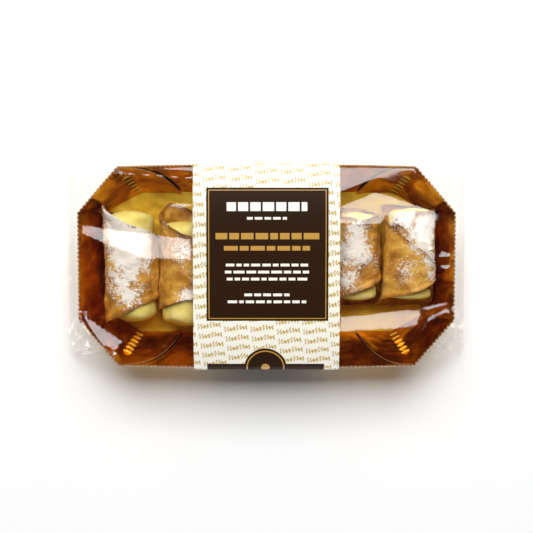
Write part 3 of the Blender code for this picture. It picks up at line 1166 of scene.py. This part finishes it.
# How far the facets lift the film at each place: flat inside an outline, dying away outside it
def facetLift(x, y):
    px, py = x / mm, y / mm
    total, weights = np.zeros_like(px), np.zeros_like(px)
    for facet in facets:
        outline = np.array(facet["outline"])
        middle = outline.mean(axis=0)
        nearX, nearY, far = nearestInside(outline, px, py)
        lean = math.radians(facet["lean"])
        run = (nearX - middle[0]) * math.sin(lean) + (nearY - middle[1]) * math.cos(lean)
        level = crownHeight(middle[:1] * mm, middle[1:] * mm)[0][0] / mm + facet["lift"]
        flat = level - math.tan(math.radians(facet["tilt"])) * run
        rise = flat - crownHeight(nearX * mm, nearY * mm)[0] / mm
        weight = np.clip(1 - far / facet["reach"], 0, 1) ** 1.5
        total += rise * weight
        weights += weight
    return total / np.maximum(weights, 1) * mm


# The film's profile up the middle of a long side, and its edge up a short end, both by a share
def filmSides(share):
    halfDepth, top, low = bagHigh.y, bagHigh.z, bagLow.z
    shoulder = top - arch["rise"]
    radius, baseRadius = film["rimRadius"], film["baseRadius"]
    halfY = film["baseHalf"][1]
    lean = math.atan2(halfDepth - halfY, shoulder - radius - low)
    turn = np.linspace(-math.pi / 2, -lean, 5)
    centre = halfY - baseRadius
    side = [(centre + baseRadius * math.cos(a), low + baseRadius * (1 + math.sin(a))) for a in turn]
    turn = np.linspace(-lean, math.pi / 2 - math.radians(arch["edgeSlope"]), 5)
    centre = halfDepth - radius
    roll = [(centre + radius * math.cos(a), shoulder - radius + radius * math.sin(a)) for a in turn]
    (y0, z0), (y1, z1) = side[-1], roll[0]
    side += [(mixed(y0, y1, i / 4), mixed(z0, z1, i / 4)) for i in (1, 2, 3)] + roll
    side = np.array(side)
    finX, finY = bagHigh.x, film["finHalfDepth"]
    rimX, earY = film["rimHalfLength"], halfDepth - 1.0 * mm
    baseX = film["baseHalf"][0]
    finLow, finTop = film["finHeight"]
    end = np.array(
        [
            (baseX, halfY, low, 16 * mm, 10 * mm),
            (mixed(baseX, finX, 0.40), mixed(halfY, finY, 0.5), 1.7 * mm, 12 * mm, 9 * mm),
            (mixed(baseX, finX, 0.75), mixed(halfY, finY, 0.9), 2.9 * mm, 8 * mm, 7 * mm),
            (finX, finY, finLow, 5 * mm, 5 * mm),
            (finX, finY, finTop, 5 * mm, 5 * mm),
            (mixed(finX, rimX, 0.45), finY - 0.6 * mm, finTop + 1.8 * mm, 7 * mm, 7.5 * mm),
            (mixed(finX, rimX, 0.58), finY, mixed(finTop, shoulder, 0.26), 10 * mm, 11 * mm),
            (mixed(finX, rimX, 0.70), finY + 0.6 * mm, mixed(finTop, shoulder, 0.50), 14 * mm, 15 * mm),
            (mixed(finX, rimX, 0.85), finY + 1.4 * mm, mixed(finTop, shoulder, 0.75), 18 * mm, 20 * mm),
            (rimX, earY, shoulder - 2.2 * mm, 21.5 * mm, 25 * mm),
            (rimX - 1.0 * mm, earY - 0.8 * mm, shoulder - 0.8 * mm, 21.5 * mm, 25 * mm),
            (rimX - 2.6 * mm, earY - 1.6 * mm, shoulder - 0.3 * mm, 21.5 * mm, 25 * mm),
        ]
    )
    sideAt = [np.interp(share * (len(side) - 1), range(len(side)), side[:, i]) for i in range(2)]
    endAt = [np.interp(share * (len(end) - 1), range(len(end)), end[:, i]) for i in range(5)]
    return sideAt, endAt


def filmPlace(u, v):
    under, sides, crown = film["underRings"], film["sideRows"], film["crownRings"]
    row = v * (under + sides + crown)
    climb = np.clip((row - under) / sides, 0, 1)
    (sideY, sideZ), (endX, endY, endZ, cutX, cutY) = filmSides(climb)
    signX, signY, along, corner, end = loopShares(u)
    spread = eased(0.5, 1.0, along)
    roundness = mixed(1.0, 0.15, eased(5 * mm, 21.5 * mm, cutX))
    x = along * (endX - cutX) + cutX * (1 - mixed(1 - corner, (1 - corner) ** 2, roundness))
    y = mixed(sideY, endY, spread) - cutY * mixed(corner, corner**2, roundness)
    y = np.where(end > 0, (endY - cutY) * (1 - end), y)
    z = mixed(sideZ, endZ, spread)
    x, y = signX * x, signY * y
    inward = np.clip((row - under - sides) / crown, 0, 1)
    outward = np.clip(row / under, 0, 1)
    share = (1 - inward) * outward
    x, y = x * share, y * share
    dome, edgeZ = crownHeight(x, y)
    rimDip = (edgeZ - z) * (1 - inward) ** 2
    onTop = inward > 0
    z = np.where(onTop, dome - rimDip, z)
    # facets on top, let go over the rim and under the band
    clearOfBand = eased(bandHigh.x - 1.2 * mm, bandHigh.x + 0.4 * mm, np.abs(x))
    tight = eased(0.80, 0.98, climb) * clearOfBand
    lift = facetLift(x, y) * tight
    places = np.stack([x, y, z], axis=1)
    slack = noiseAt(places, 1 / (30 * mm), 2.0) * film["slackHeight"] * tight * eased(0.0, 0.06, inward)
    z = z + lift + slack
    # crumples where the ends are gathered: sharp folds that fan out from the rim's corners
    gathered = eased(84 * mm, 104 * mm, np.abs(x)) * eased(1.0, 0.72, climb) * eased(0.0, 0.25, climb)
    ear = eased(-26 * mm, -44 * mm, y)
    sharp = 1 - np.abs(noiseAt(places * np.array([1, 1.6, 0.7]), 1 / (7 * mm), 6.0)) * 2.2
    soft = noiseAt(places, 1 / (14 * mm), 9.0)
    push = gathered * ((0.15 + 1.3 * ear) * sharp + 0.7 * soft) * 0.9 * mm
    ridges = 1 - np.abs(noiseAt(places * np.array([1, 0.8, 0.3]), 1 / (6 * mm), 3.0)) * 2.6
    flap = eased(88 * mm, 98 * mm, np.abs(x)) * eased(1.0, 0.6, climb)
    z = z + flap * (0.2 + ear) * np.clip(ridges, 0, 1) * film["ridgeHeight"]
    out = np.hypot(x / 1.8, y) + 1e-9
    x = x + push * x / 1.8 / out
    y = y + push * y / out
    x = np.clip(x, bagLow.x, bagHigh.x)
    y = np.clip(y, bagLow.y, bagHigh.y)
    return x, y, np.clip(z, bagLow.z, bagHigh.z + 1.2 * mm)


plastic = clearFilm()
filmBag = wrapGrid(
    "filmBag", film["columns"], film["underRings"] + film["sideRows"] + film["crownRings"], filmPlace
)
mergeDoubles(filmBag, 0.000005)
giveMaterials(filmBag, plastic)
shadeSmooth(filmBag, 9)
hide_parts("filled_bag")
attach(filmBag, "root")

print("stage: done")
